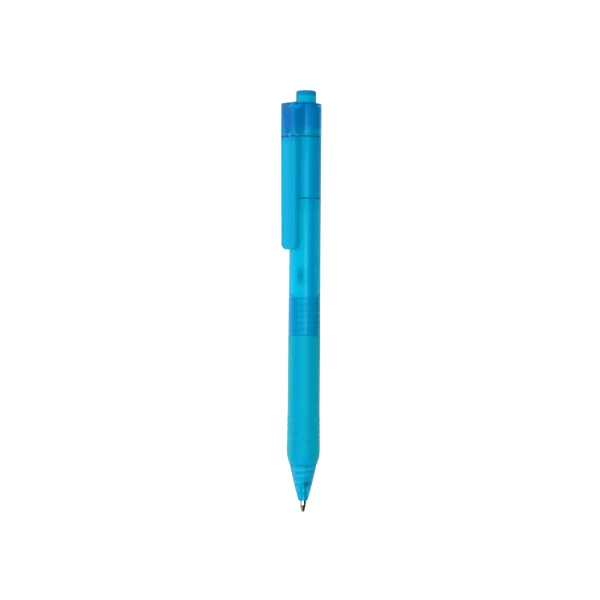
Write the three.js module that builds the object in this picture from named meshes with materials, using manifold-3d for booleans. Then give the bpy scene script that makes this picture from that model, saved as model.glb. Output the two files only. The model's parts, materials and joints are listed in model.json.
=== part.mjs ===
// A retractable gel pen in frosted plastic with a silicone grip, lying on its clip and its grip flare.
// Millimetres. Each piece is built along its own +Y, counted from the writing end, with the clip on +Z;
// the whole pen is then laid down with its tip towards +X.
import * as THREE from "three";
import { mergeVertices } from "three/addons/utils/BufferGeometryUtils.js";
import Module from "manifold-3d";

const wasm = await Module();
wasm.setup();

// ---- Driving dimensions ----

// Distances from the writing end, with the tip out
const along = {
  noseEnd: 3.9,
  gripStart: 16.1,
  gripEnd: 59.5,
  threadEnd: 72.4,
  parting: 105.6,
  collarStart: 126.3,
  collarTop: 137.6,
  buttonTop: 142,
};

// Radii of the outer shells
const shell = { grip: 5.4, flare: 5.6, barrelLow: 5.4, barrelHigh: 5.28, cap: 5.26 };

const partingGap = 0.15; // between shells that butt together
const resting = 0.3; // between cut or resting pieces
const shellSegments = 36;
const innerSegments = 24;
const fullTurn = 2 * Math.PI;

// Click mechanism: four grooves, with ridges between them
const cam = {
  grooves: 4,
  firstGroove: THREE.MathUtils.degToRad(105), // from the clip, round towards +X
  grooveRadius: 3.95,
  ridgeRadius: 3.25,
  ridgeWidth: 2.6,
  keyRadius: 3.82,
  keyWidth: 1.4,
  teeth: 8,
  toothSide: 1.2,
  toothRadius: 2.6,
};

const tip = { ballRadius: 0.4, radius: 1.1, coneEnd: 2.5, shoulder: 10.4, shankRadius: 0.85, shankEnd: 14 };
const refill = { radius: 3, bore: 2.6, start: 23.1, end: 107, inkEnd: 76, followerEnd: 82.2 };
const spring = { start: 9.75, end: 21.3, coilRadius: 2, wireRadius: 0.18, turns: 6, stepsPerTurn: 16, sides: 6 };
const thread = { root: 4.3, crest: 4.58, pitch: 2.07, start: 60.4, turns: 5, bore: 4.68 };

const clip = {
  end: 88.4,
  outer: 8.15,
  thickness: 2,
  topWidth: 7.4,
  endWidth: 7,
  cornerRadius: 2.2,
  edge: 0.4,
  lean: 0.4, // how far its end leans in towards the barrel
  padTop: 101.6,
  padDepth: 0.3,
};

const layRoll = THREE.MathUtils.degToRad(15); // the clip points this far below level

// ---- Materials ----

const plastic = (color, roughness) => new THREE.MeshStandardMaterial({ color, roughness, metalness: 0 });
const metal = (color, roughness) => new THREE.MeshStandardMaterial({ color, roughness, metalness: 1 });

const material = {
  frosted: plastic(0x02b4de, 0.4),
  frostedDark: plastic(0x0478c0, 0.35),
  silicone: plastic(0x00afc8, 0.6),
  button: plastic(0x02a8d8, 0.35),
  mechanism: plastic(0x2ab8dc, 0.45),
  tube: plastic(0xbfe6f0, 0.3),
  ink: plastic(0x0f5fae, 0.3),
  follower: plastic(0x1793a0, 0.4),
  holder: plastic(0xd8e6ea, 0.45),
  nickel: metal(0xb9b4ac, 0.25),
  carbide: metal(0x5a5a60, 0.2),
  steel: metal(0xa9adb2, 0.35),
};

// ---- Making solids ----

// A turned solid from [radius, along] points that run up the outside and back down the inside.
// A profile that starts off the axis is closed into a ring.
function turned(points, segments = shellSegments) {
  const profile = points.map(([radius, y]) => new THREE.Vector2(radius, y));
  if (points[0][0] > 0) profile.push(profile[0].clone());
  return new THREE.LatheGeometry(profile, segments);
}

function toSolid(geometry) {
  const bare = geometry.clone();
  bare.deleteAttribute("normal");
  bare.deleteAttribute("uv");
  const merged = mergeVertices(bare, 1e-4);
  return new wasm.Manifold(
    new wasm.Mesh({
      numProp: 3,
      vertProperties: merged.attributes.position.array,
      triVerts: new Uint32Array(merged.index.array),
    }),
  );
}

function toGeometry(solid) {
  const mesh = solid.getMesh();
  const geometry = new THREE.BufferGeometry();
  geometry.setAttribute("position", new THREE.BufferAttribute(new Float32Array(mesh.vertProperties), 3));
  geometry.setIndex(new THREE.BufferAttribute(new Uint32Array(mesh.triVerts), 1));
  geometry.computeVertexNormals();
  return geometry;
}

// A block between two radii and two distances along the pen, at an angle round it from the clip.
function radialBlock({ width, inner, outer, from, to, angle = 0 }) {
  const block = new THREE.BoxGeometry(width, to - from, outer - inner);
  block.translate(0, (from + to) / 2, (inner + outer) / 2);
  block.rotateY(angle);
  return toSolid(block);
}

// A square bar that points outwards and stands on its corner, so half of it is a pointed tooth.
function pointedBar({ side, inner, outer, at, angle }) {
  const bar = new THREE.BoxGeometry(side, side, outer - inner);
  bar.rotateZ(Math.PI / 4);
  bar.translate(0, at, (inner + outer) / 2);
  bar.rotateY(angle);
  return toSolid(bar);
}

// The same piece made at equal steps all round the pen.
function roundAbout(count, firstAngle, make) {
  return Array.from({ length: count }, (_, i) => make(firstAngle + (i * fullTurn) / count));
}

const joined = (first, others) => others.reduce((sum, solid) => sum.add(solid), first);
const cutFrom = (first, others) => others.reduce((rest, solid) => rest.subtract(solid), first);

// ---- Writing end ----

function tipBall() {
  const ball = new THREE.SphereGeometry(tip.ballRadius, 12, 8);
  ball.translate(0, tip.ballRadius, 0);
  return ball;
}

function writingTip() {
  const lip = tip.ballRadius * 0.9;
  const socketRadius = tip.ballRadius + 0.05;
  const socketEnd = 2 * tip.ballRadius + 0.1;
  const inkBore = 0.3;
  return turned(
    [
      [socketRadius, lip],
      [0.58, lip + 0.1],
      [tip.radius, tip.coneEnd],
      [tip.radius, tip.shoulder],
      [tip.shankRadius, tip.shoulder],
      [tip.shankRadius, tip.shankEnd],
      [inkBore, tip.shankEnd],
      [inkBore, socketEnd],
      [socketRadius, socketEnd],
    ],
    innerSegments,
  );
}

function tipHolder() {
  const noseRadius = 1.7;
  const flangeStart = 21.7;
  const plugEnd = 27;
  const inkBore = 0.6;
  return turned(
    [
      [tip.shankRadius + 0.05, tip.shoulder + partingGap],
      [1.4, tip.shoulder + partingGap],
      [noseRadius, tip.shoulder + 0.5],
      [noseRadius, flangeStart],
      [refill.radius - 0.05, flangeStart],
      [refill.radius - 0.05, refill.start - 0.1],
      [refill.bore - 0.08, refill.start - 0.1],
      [refill.bore - 0.08, plugEnd],
      [inkBore, plugEnd],
      [inkBore, tip.shankEnd + partingGap],
      [tip.shankRadius + 0.05, tip.shankEnd + partingGap],
    ],
    innerSegments,
  );
}

// ---- Refill ----

function refillTube() {
  return turned(
    [
      [refill.bore, refill.start],
      [refill.radius, refill.start],
      [refill.radius, refill.end],
      [refill.bore, refill.end],
    ],
    innerSegments,
  );
}

// A filled length of the refill's bore.
function filling(from, to) {
  const radius = refill.bore - 0.08;
  return turned(
    [
      [0, from],
      [radius, from],
      [radius, to],
      [0, to],
    ],
    innerSegments,
  );
}

function refillPlug() {
  const plugStart = refill.end - 3.4;
  const plugRadius = refill.bore - 0.08;
  const capEnd = refill.end + 1.1;
  const vent = 0.5;
  return turned(
    [
      [vent, plugStart],
      [plugRadius, plugStart],
      [plugRadius, refill.end + 0.1],
      [refill.radius - 0.05, refill.end + 0.1],
      [refill.radius - 0.05, capEnd],
      [vent, capEnd],
    ],
    innerSegments,
  );
}

// ---- Return spring ----

class Helix extends THREE.Curve {
  getPoint(t, target = new THREE.Vector3()) {
    const angle = t * spring.turns * fullTurn;
    const y = THREE.MathUtils.lerp(spring.start, spring.end, t);
    return target.set(spring.coilRadius * Math.sin(angle), y, spring.coilRadius * Math.cos(angle));
  }
}

function returnSpring() {
  const section = new THREE.Shape();
  section.absarc(0, 0, spring.wireRadius, 0, fullTurn);
  return new THREE.ExtrudeGeometry(section, {
    extrudePath: new Helix(),
    steps: spring.turns * spring.stepsPerTurn,
    curveSegments: spring.sides / 2,
  });
}

// ---- Front half ----

function frontBarrel() {
  const coreRadius = 4.1;
  const refillBore = 3.35;
  const springBore = 2.75;
  const seatStart = 9;
  const seatEnd = 9.4;
  const boreStep = 20.3;
  const threadForm = [];
  for (let turn = 0; turn < thread.turns; turn++) {
    const y = thread.start + turn * thread.pitch;
    threadForm.push([thread.root, y]);
    threadForm.push([thread.crest, y + 0.4 * thread.pitch]);
    threadForm.push([thread.crest, y + 0.6 * thread.pitch]);
  }
  return turned([
    [1.25, along.noseEnd],
    [1.35, along.noseEnd],
    [1.7, 4.5],
    [2.95, 9.2],
    [4.13, 14.2],
    [4.52, along.gripStart - 0.15],
    [coreRadius, along.gripStart - 0.15],
    [coreRadius, along.gripEnd],
    ...threadForm,
    [thread.root, thread.start + thread.turns * thread.pitch],
    [thread.root - 0.2, along.threadEnd],
    [refillBore, along.threadEnd],
    [refillBore, boreStep + 0.3],
    [springBore, boreStep],
    [springBore, 12.6],
    [2.3, seatEnd],
    [1.25, seatStart],
  ]);
}

function gripSleeve() {
  const bore = 4.15;
  return turned([
    [bore, along.gripStart],
    [4.6, along.gripStart],
    [5.01, 17.3],
    [5.32, 18.3],
    [5.52, 19.4],
    [shell.flare, 21.2],
    [5.57, 22.6],
    [5.44, 24.8],
    [shell.grip - 0.03, 28.6],
    [shell.grip, 48],
    [shell.grip, along.gripEnd],
    [bore, along.gripEnd],
  ]);
}

// ---- Rear half ----

function barrel() {
  const bore = 4;
  const spigotRadius = 4.45;
  const spigotEnd = 110.5;
  return turned([
    [thread.bore, along.gripEnd + partingGap],
    [shell.barrelLow, along.gripEnd + partingGap],
    [shell.barrelLow - 0.07, along.threadEnd],
    [shell.barrelHigh, 86],
    [shell.barrelHigh, along.parting],
    [spigotRadius, along.parting],
    [spigotRadius, spigotEnd],
    [bore, spigotEnd],
    [bore, along.threadEnd + 1.2],
    [thread.bore, along.threadEnd + 0.5],
  ]);
}

const spigot = { radius: 4.62, end: 136.2, guideBore: 4, guideEnd: 129.4, buttonBore: 3.55 };

function capTube() {
  const bore = 4.55;
  return turned([
    [bore, along.parting + partingGap],
    [shell.cap, along.parting + partingGap],
    [shell.cap, along.collarStart - partingGap],
    [spigot.radius, along.collarStart - partingGap],
    [spigot.radius, spigot.end],
    [spigot.buttonBore, spigot.end],
    [spigot.buttonBore, spigot.guideEnd],
    [spigot.guideBore, spigot.guideEnd],
    [spigot.guideBore, along.collarStart],
    [bore, along.collarStart],
  ]);
}

// The ring that closes the cap, with the block that carries the clip.
function clipCollar() {
  const bore = 4.72;
  const topWall = spigot.end + 0.2;
  const ring = turned([
    [bore, along.collarStart],
    [shell.cap, along.collarStart],
    [shell.cap, along.collarTop - 0.45],
    [shell.cap - 0.45, along.collarTop],
    [spigot.buttonBore, along.collarTop],
    [spigot.buttonBore, topWall],
    [bore, topWall],
  ]);
  const bored = turned([
    [0, along.collarStart - 1],
    [bore, along.collarStart - 1],
    [bore, topWall],
    [spigot.buttonBore, topWall],
    [spigot.buttonBore, along.collarTop + 1],
    [0, along.collarTop + 1],
  ]);
  const block = radialBlock({
    width: clip.topWidth,
    inner: 1,
    outer: clip.outer,
    from: along.collarStart,
    to: along.collarTop,
  });
  const chamfer = new THREE.BoxGeometry(clip.edge * Math.SQRT2, 30, clip.edge * Math.SQRT2);
  chamfer.rotateY(Math.PI / 4);
  const edges = [-1, 1].map((side) => {
    const edge = chamfer.clone();
    return toSolid(edge.translate((side * clip.topWidth) / 2, along.collarStart, clip.outer));
  });
  return toGeometry(cutFrom(toSolid(ring).add(block), [toSolid(bored), ...edges]));
}

// A strip seen from outside, narrowing to its round-cornered lower end.
function stripShape({ top, bottom, topWidth, bottomWidth, corner }) {
  const shape = new THREE.Shape();
  shape.moveTo(topWidth / 2, top);
  shape.lineTo(-topWidth / 2, top);
  shape.lineTo(-bottomWidth / 2, bottom + corner);
  shape.absarc(corner - bottomWidth / 2, bottom + corner, corner, Math.PI, 1.5 * Math.PI);
  shape.absarc(bottomWidth / 2 - corner, bottom + corner, corner, 1.5 * Math.PI, fullTurn);
  return shape;
}

function clipArm() {
  const top = along.collarStart - resting;
  const inset = 0.5;
  const arm = new THREE.ExtrudeGeometry(
    stripShape({
      top,
      bottom: clip.end,
      topWidth: clip.topWidth,
      bottomWidth: clip.endWidth,
      corner: clip.cornerRadius,
    }),
    {
      depth: clip.thickness - 2 * clip.edge,
      bevelSize: clip.edge,
      bevelOffset: -clip.edge,
      bevelThickness: clip.edge,
      bevelSegments: 1,
      curveSegments: 5,
    },
  );
  arm.translate(0, 0, clip.outer - clip.thickness + clip.edge);
  const pad = new THREE.ExtrudeGeometry(
    stripShape({
      top: clip.padTop,
      bottom: clip.end + inset,
      topWidth: clip.endWidth - 2 * inset,
      bottomWidth: clip.endWidth - 2 * inset,
      corner: clip.cornerRadius - inset,
    }),
    { depth: clip.padDepth + clip.edge, bevelEnabled: false, curveSegments: 5 },
  );
  pad.translate(0, 0, clip.outer - clip.thickness - clip.padDepth);
  const whole = toGeometry(toSolid(arm).add(toSolid(pad)));
  whole.translate(0, -along.collarStart, -clip.outer);
  whole.rotateX(Math.atan(clip.lean / (along.collarStart - clip.end)));
  return whole.translate(0, along.collarStart, clip.outer);
}

// ---- Click mechanism ----

function guideSleeve() {
  const outside = 4.45;
  const bottom = 111.2;
  const top = 126;
  const ridgeStart = 117.3;
  const ridgeEnd = 125;
  const windowStart = 114.7;
  const windowWidth = 2.1;
  const halfStep = fullTurn / cam.grooves / 2;
  const tube = toSolid(
    turned([
      [cam.grooveRadius, bottom],
      [outside, bottom],
      [outside, top],
      [cam.grooveRadius, top],
    ]),
  );
  const ridges = roundAbout(cam.grooves, cam.firstGroove + halfStep, (angle) =>
    radialBlock({
      width: cam.ridgeWidth,
      inner: cam.ridgeRadius,
      outer: (cam.grooveRadius + outside) / 2,
      from: ridgeStart,
      to: ridgeEnd,
      angle,
    }),
  );
  const windows = roundAbout(2, cam.firstGroove, (angle) =>
    radialBlock({ width: windowWidth, inner: 2, outer: 6, from: windowStart, to: top + 1, angle }),
  );
  return toGeometry(cutFrom(joined(tube, ridges), windows));
}

function pushButton() {
  const plungerStart = 118.2;
  const plungerRadius = 3.1;
  const widening = 130;
  const radius = 3.4;
  const hollow = 1.8;
  const hollowEnd = 139;
  const body = toSolid(
    turned([
      [hollow, plungerStart],
      [plungerRadius, plungerStart],
      [plungerRadius, widening],
      [radius, widening],
      [radius, along.buttonTop - 0.7],
      [radius - 0.2, along.buttonTop - 0.2],
      [radius - 0.7, along.buttonTop],
      [0, along.buttonTop],
      [0, hollowEnd],
      [hollow, hollowEnd],
    ]),
  );
  const keys = roundAbout(cam.grooves, cam.firstGroove, (angle) =>
    radialBlock({
      width: cam.keyWidth,
      inner: cam.toothRadius,
      outer: cam.keyRadius,
      from: 119.2,
      to: 124.2,
      angle,
    }),
  );
  const teeth = roundAbout(cam.teeth, cam.firstGroove, (angle) =>
    pointedBar({
      side: cam.toothSide,
      inner: 2.1,
      outer: 2.95,
      at: plungerStart,
      angle,
    }),
  );
  return toGeometry(joined(body, [...keys, ...teeth]));
}

function camRotor() {
  const bottom = 108.25;
  const crown = 116.3;
  const radius = 2.95;
  const pinRadius = 1.5;
  const keyStart = 112.5;
  const body = toSolid(
    turned([
      [0, bottom],
      [radius, bottom],
      [radius, crown],
      [pinRadius, crown],
      [pinRadius, 120.6],
      [pinRadius - 0.4, 121],
      [0, 121],
    ]),
  );
  const keys = roundAbout(cam.grooves, cam.firstGroove, (angle) =>
    radialBlock({
      width: cam.keyWidth,
      inner: cam.toothRadius,
      outer: cam.keyRadius,
      from: keyStart,
      to: crown,
      angle,
    }).add(
      pointedBar({
        side: cam.keyWidth * Math.SQRT1_2,
        inner: cam.toothRadius,
        outer: cam.keyRadius,
        at: crown,
        angle,
      }),
    ),
  );
  const teeth = roundAbout(cam.teeth, cam.firstGroove, (angle) =>
    pointedBar({
      side: cam.toothSide,
      inner: 1.7,
      outer: cam.toothRadius,
      at: crown,
      angle: angle + fullTurn / cam.teeth / 2,
    }),
  );
  return toGeometry(joined(body, [...keys, ...teeth]));
}

// ---- Assembly ----

function named(name, geometry, finish) {
  const mesh = new THREE.Mesh(geometry, finish);
  mesh.name = name;
  return mesh;
}

const refillGroup = new THREE.Group();
refillGroup.add(
  named("tip_ball", tipBall(), material.carbide),
  named("writing_tip", writingTip(), material.nickel),
  named("tip_holder", tipHolder(), material.holder),
  named("refill_tube", refillTube(), material.tube),
  named("ink_column", filling(27.2, refill.inkEnd), material.ink),
  named("ink_follower", filling(refill.inkEnd + 0.2, refill.followerEnd), material.follower),
  named("refill_plug", refillPlug(), material.mechanism),
);

const mechanismGroup = new THREE.Group();
mechanismGroup.add(
  named("return_spring", returnSpring(), material.steel),
  named("guide_sleeve", guideSleeve(), material.mechanism),
  named("cam_rotor", camRotor(), material.mechanism),
  named("push_button", pushButton(), material.button),
);

const casingGroup = new THREE.Group();
casingGroup.add(
  named("front_barrel", frontBarrel(), material.frosted),
  named("grip_sleeve", gripSleeve(), material.silicone),
  named("barrel", barrel(), material.frosted),
  named("cap_tube", capTube(), material.frosted),
  named("clip_collar", clipCollar(), material.frostedDark),
  named("clip", clipArm(), material.frosted),
);

// The pen lies with its tip towards +X and its clip on the -Y side, turned down to the surface.
const pen = new THREE.Group();
pen.add(refillGroup, mechanismGroup, casingGroup);
pen.setRotationFromMatrix(
  new THREE.Matrix4().makeBasis(
    new THREE.Vector3(0, -Math.sin(layRoll), Math.cos(layRoll)),
    new THREE.Vector3(-1, 0, 0),
    new THREE.Vector3(0, -Math.cos(layRoll), -Math.sin(layRoll)),
  ),
);
pen.updateMatrixWorld(true);
const extent = new THREE.Box3().setFromObject(pen, true);
const middle = extent.getCenter(new THREE.Vector3());
pen.position.set(-middle.x, -middle.y, -extent.min.z);

const gelPen = new THREE.Group();
gelPen.add(pen);

export default gelPen;
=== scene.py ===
import json
import math
import bmesh
import bpy
from mathutils import Matrix, Vector


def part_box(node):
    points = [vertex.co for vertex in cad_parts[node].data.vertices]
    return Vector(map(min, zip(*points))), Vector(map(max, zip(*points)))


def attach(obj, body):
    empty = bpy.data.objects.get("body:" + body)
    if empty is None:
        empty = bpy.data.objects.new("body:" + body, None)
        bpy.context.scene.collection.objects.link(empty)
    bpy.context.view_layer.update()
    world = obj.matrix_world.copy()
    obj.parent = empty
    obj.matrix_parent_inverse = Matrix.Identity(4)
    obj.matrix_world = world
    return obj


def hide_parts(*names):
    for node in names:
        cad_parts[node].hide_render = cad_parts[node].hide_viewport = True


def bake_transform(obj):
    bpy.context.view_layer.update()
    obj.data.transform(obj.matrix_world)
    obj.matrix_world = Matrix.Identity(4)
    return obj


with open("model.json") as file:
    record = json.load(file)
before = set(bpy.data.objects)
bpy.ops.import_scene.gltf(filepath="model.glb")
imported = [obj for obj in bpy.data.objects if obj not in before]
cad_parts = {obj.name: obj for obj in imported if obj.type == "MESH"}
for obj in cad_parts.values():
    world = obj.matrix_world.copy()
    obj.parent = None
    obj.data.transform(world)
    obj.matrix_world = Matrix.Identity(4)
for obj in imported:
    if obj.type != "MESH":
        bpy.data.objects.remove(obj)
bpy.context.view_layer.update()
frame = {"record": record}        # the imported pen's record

fullTurn = 2 * math.pi
perMetre = 1000.0  # pieces are drawn in millimetres, in the pen's own axes
smallest = 1e-4  # a length under this counts as nothing


# where the pen lies: its own X runs across the clip, Y from the tip to the button, Z out to the clip

def faceWay(mountName):
    mount = next(m for m in frame["record"]["mounts"] if m["name"] == mountName)
    return Vector(mount["axis"]).normalized()


buttonWay = faceWay("button_top")
clipWay = faceWay("clip_block_face")
widthWay = buttonWay.cross(clipWay)
ballLow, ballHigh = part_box("tip_ball")
tipPoint = (ballLow + ballHigh) / 2 - buttonWay * (ballHigh.x - ballLow.x) / 2
penTurn = Matrix((widthWay, buttonWay, clipWay)).transposed().to_4x4()
penToRow = Matrix.Translation(tipPoint) @ penTurn @ Matrix.Scale(1 / perMetre, 4)


def alongOf(node):
    ends = [(corner - tipPoint).dot(buttonWay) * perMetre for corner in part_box(node)]
    return min(ends), max(ends)


def roundCorners(corners, steps=4):  # corners are (x, y) or (x, y, rounding)
    outline = []
    for i, corner in enumerate(corners):
        here = Vector(corner[:2])
        if len(corner) < 3:
            outline.append(here)
            continue
        back = (Vector(corners[i - 1][:2]) - here).normalized()
        onward = (Vector(corners[(i + 1) % len(corners)][:2]) - here).normalized()
        half = back.angle(onward) / 2
        centre = here + (back + onward).normalized() * corner[2] / math.sin(half)
        fromCentre = here + back * corner[2] / math.tan(half) - centre
        sweep = fromCentre.angle_signed(here + onward * corner[2] / math.tan(half) - centre)
        for k in range(steps + 1):
            outline.append(centre + Matrix.Rotation(-sweep * k / steps, 2) @ fromCentre)
    return outline


def finely(outline, low, high, step):  # more rows where a relief will be raised
    rows = []
    for a, b in zip(outline, outline[1:] + outline[:1]):
        rows.append(a)
        first, last = sorted((max(min(a.y, b.y), low), min(max(a.y, b.y), high)))
        if abs(b.y - a.y) < step or max(a.y, b.y) < low or min(a.y, b.y) > high:
            continue
        count = int((last - first) / step)
        cuts = [first + (last - first) * k / count for k in range(count + 1)] if count else []
        cuts = cuts if b.y > a.y else cuts[::-1]
        for cut in cuts:
            if min(abs(cut - a.y), abs(cut - b.y)) > smallest:
                rows.append(a.lerp(b, (cut - a.y) / (b.y - a.y)))
    return rows


def linked(name, data):
    piece = bpy.data.objects.new(name, data)
    bpy.context.scene.collection.objects.link(piece)
    return piece


def drawn(name, bm):
    bmesh.ops.recalc_face_normals(bm, faces=bm.faces)
    mesh = bpy.data.meshes.new(name)
    bm.to_mesh(mesh)
    bm.free()
    return linked(name, mesh)


def turned(name, outline, segments=96):  # an outline of (radius, along) spun round the pen's middle
    bm = bmesh.new()
    rings = []
    for radius, along in outline:
        if radius < smallest:
            rings.append([bm.verts.new((0, along, 0))] * segments)
            continue
        angles = [fullTurn * k / segments for k in range(segments)]
        rings.append([bm.verts.new((radius * math.sin(a), along, radius * math.cos(a))) for a in angles])
    onAxis = outline[0][0] < smallest
    pairs = list(zip(rings, rings[1:])) + ([] if onAxis else [(rings[-1], rings[0])])
    for lower, upper in pairs:
        for k in range(segments):
            n = (k + 1) % segments
            corners = [lower[k], lower[n], upper[n], upper[k]]
            bm.faces.new(list(dict.fromkeys(corners)))
    return drawn(name, bm)


def prism(name, outline, depth, axis="Z"):  # an outline in X and Y pushed along Z, or Z and Y along X
    bm = bmesh.new()
    low, high = depth
    for x, y in outline:
        bm.verts.new((x, y, low) if axis == "Z" else (low, y, x))
    base = bm.faces.new(bm.verts[:])
    pushed = bmesh.ops.extrude_face_region(bm, geom=[base])
    push = Vector((0, 0, high - low)) if axis == "Z" else Vector((high - low, 0, 0))
    bmesh.ops.translate(bm, vec=push, verts=[g for g in pushed["geom"] if isinstance(g, bmesh.types.BMVert)])
    return drawn(name, bm)


def settle(piece):  # its modifiers become its mesh
    bpy.context.view_layer.update()
    seen = piece.evaluated_get(bpy.context.evaluated_depsgraph_get())
    mesh = bpy.data.meshes.new_from_object(seen)
    piece.modifiers.clear()
    piece.data = mesh
    return piece


def combine(piece, tool, how):  # how is UNION, DIFFERENCE or INTERSECT
    step = piece.modifiers.new(how, "BOOLEAN")
    step.operation = how
    step.object = tool
    step.solver = "EXACT"
    settle(piece)
    bpy.data.objects.remove(tool)
    return piece


def softenEdges(piece, width, angle=35, segments=3):
    step = piece.modifiers.new("Soft edges", "BEVEL")
    step.width = width
    step.segments = segments
    step.limit_method = "ANGLE"
    step.angle_limit = math.radians(angle)
    step.use_clamp_overlap = True
    return settle(piece)


def finishPiece(piece, finish, slotName, body, *nodes, smooth=32):
    mesh = piece.data
    if not mesh.polygons:
        raise RuntimeError(piece.name + " has no faces")
    mesh.transform(penToRow)
    mesh.materials.clear()
    mesh.materials.append(finish)
    mesh.shade_smooth()
    mesh.set_sharp_from_angle(angle=math.radians(smooth))
    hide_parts(*nodes)
    if body:
        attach(piece, body)


def wire(tree, kind, inputs=None, **settings):
    node = tree.nodes.new(kind)
    for key, value in settings.items():
        setattr(node, key, value)
    for key, value in (inputs or {}).items():
        if isinstance(value, bpy.types.NodeSocket):
            tree.links.new(value, node.inputs[key])
        else:
            node.inputs[key].default_value = value
    return node


def calc(tree, operation, *values):
    return wire(tree, "ShaderNodeMath", dict(enumerate(values)), operation=operation).outputs[0]


def product(tree, whole, *shares):
    for share in shares:
        whole = calc(tree, "MULTIPLY", whole, share)
    return whole


def vectorCalc(tree, operation, *values):
    return wire(tree, "ShaderNodeVectorMath", dict(enumerate(values)), operation=operation).outputs


def rise(tree, value, low, high, smooth=True):  # 0 below low, 1 above high
    kind = "SMOOTHSTEP" if smooth else "LINEAR"
    inputs = {"Value": value, "From Min": low, "From Max": high}
    return wire(tree, "ShaderNodeMapRange", inputs, interpolation_type=kind).outputs[0]


socketTypes = {float: "Float", int: "Int", tuple: "Color"}


def newTree(name, kind, inputs, outputs):  # an input gives its starting value, or else its type
    tree = bpy.data.node_groups.new(name, kind)
    for label, value in inputs.items():
        socketType = socketTypes.get(type(value), value)
        socket = tree.interface.new_socket(label, in_out="INPUT", socket_type="NodeSocket" + socketType)
        if socketType != value:
            socket.default_value = value
    for label, socketType in outputs.items():
        tree.interface.new_socket(label, in_out="OUTPUT", socket_type="NodeSocket" + socketType)
    return tree, tree.nodes.new("NodeGroupInput").outputs, tree.nodes.new("NodeGroupOutput").inputs


def shapeTree(name, inputs):
    sockets = {"Geometry": "Geometry", **inputs, "Finish": "Material"}
    return newTree(name, "GeometryNodeTree", sockets, {"Geometry": "Geometry"})


def endTree(tree, entry, leave, geometry):
    real = wire(tree, "GeometryNodeRealizeInstances", {"Geometry": geometry}).outputs[0]
    painted = wire(tree, "GeometryNodeSetMaterial", {"Geometry": real, "Material": entry["Finish"]})
    tree.links.new(painted.outputs[0], leave[0])
    return tree


def shapeBy(piece, tree, values):  # runs a geometry tree on a piece and keeps the result
    step = piece.modifiers.new(tree.name, "NODES")
    step.node_group = tree
    for socket in tree.interface.items_tree:
        if socket.in_out == "INPUT" and socket.name in values:
            step[socket.identifier] = values[socket.name]
    return settle(piece)


def aroundPen(tree):  # angle in turns, along, radius and the way outwards
    position = wire(tree, "GeometryNodeInputPosition").outputs[0]
    parts = wire(tree, "ShaderNodeSeparateXYZ", {0: position}).outputs
    angle = calc(tree, "DIVIDE", calc(tree, "ARCTAN2", parts[0], parts[2]), fullTurn)
    flat = wire(tree, "ShaderNodeCombineXYZ", {0: parts[0], 2: parts[2]}).outputs[0]
    radius = vectorCalc(tree, "LENGTH", flat)["Value"]
    return angle, parts[1], radius, vectorCalc(tree, "NORMALIZE", flat)[0]


def raiseTree(tree, entry, leave, height, outwards):
    push = wire(tree, "ShaderNodeVectorMath", {0: outwards, "Scale": height}, operation="SCALE").outputs[0]
    moved = wire(tree, "GeometryNodeSetPosition", {"Geometry": entry["Geometry"], "Offset": push})
    return endTree(tree, entry, leave, moved.outputs[0])


def threadTent(tree, entry, angle, along):  # 1 on the thread's line, 0 halfway to the next
    turns = calc(tree, "SUBTRACT", calc(tree, "DIVIDE", along, entry["Pitch"]), angle)
    phase = calc(tree, "FRACT", calc(tree, "ADD", turns, entry["Phase"]))
    return calc(tree, "SUBTRACT", 1.0, calc(tree, "ABSOLUTE", calc(tree, "MULTIPLY_ADD", phase, 2.0, -1.0)))


def runs(tree, entry, along, length):  # 0 beyond Start and End, 1 from that length inwards
    runIn = rise(tree, along, entry["Start"], calc(tree, "ADD", entry["Start"], length))
    runOut = rise(tree, calc(tree, "SUBTRACT", entry["End"], along), 0.0, length)
    return runIn, runOut


def makeThreadTree():  # one start, right-handed, on whatever lies between two radii
    tree, entry, leave = shapeTree("threadRelief", {
        "Pitch": 2.0, "Depth": 0.3, "Start": 0.0, "End": 10.0, "Low Radius": 4.0, "High Radius": 5.0,
        "Phase": 0.0})
    angle, along, radius, outwards = aroundPen(tree)
    ridge = rise(tree, threadTent(tree, entry, angle, along), 0.25, 0.75)
    above = calc(tree, "GREATER_THAN", radius, entry["Low Radius"])
    below = calc(tree, "LESS_THAN", radius, entry["High Radius"])
    height = product(tree, entry["Depth"], ridge, *runs(tree, entry, along, 0.8), product(tree, above, below))
    return raiseTree(tree, entry, leave, height, outwards)


def makeGrainTree():  # staggered three-sided studs on the outer surface
    tree, entry, leave = shapeTree("gripGrain", {
        "Columns": 12.0, "Row Pitch": 2.0, "Stud": 0.5, "Height": 0.1, "Start": 0.0, "End": 10.0,
        "Low Radius": 4.0, "High Radius": 6.0})
    angle, along, radius, outwards = aroundPen(tree)
    columnPitch = calc(tree, "DIVIDE", product(tree, radius, fullTurn), entry["Columns"])
    studs = []
    for shift in (0.0, 0.5):
        columns = calc(tree, "ADD", product(tree, angle, entry["Columns"]), 100 + shift)
        rows = calc(tree, "ADD", calc(tree, "DIVIDE", along, entry["Row Pitch"]), shift)
        across, up = [product(tree, calc(tree, "SUBTRACT", calc(tree, "FRACT", count), 0.5), pitch)
                      for count, pitch in ((columns, columnPitch), (rows, entry["Row Pitch"]))]
        sides = calc(tree, "MULTIPLY_ADD", calc(tree, "ABSOLUTE", across), 0.866, product(tree, up, 0.5))
        reach = calc(tree, "MAXIMUM", product(tree, up, -1.0), sides)
        studs.append(rise(tree, reach, entry["Stud"], product(tree, entry["Stud"], 0.2)))
    relief = calc(tree, "MAXIMUM", *studs)
    outside = calc(tree, "GREATER_THAN", radius, entry["Low Radius"])
    height = product(tree, product(tree, entry["Height"], relief), *runs(tree, entry, along, 1.5), outside)
    height = calc(tree, "MINIMUM", height, calc(tree, "SUBTRACT", entry["High Radius"], radius))
    return raiseTree(tree, entry, leave, height, outwards)


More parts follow.
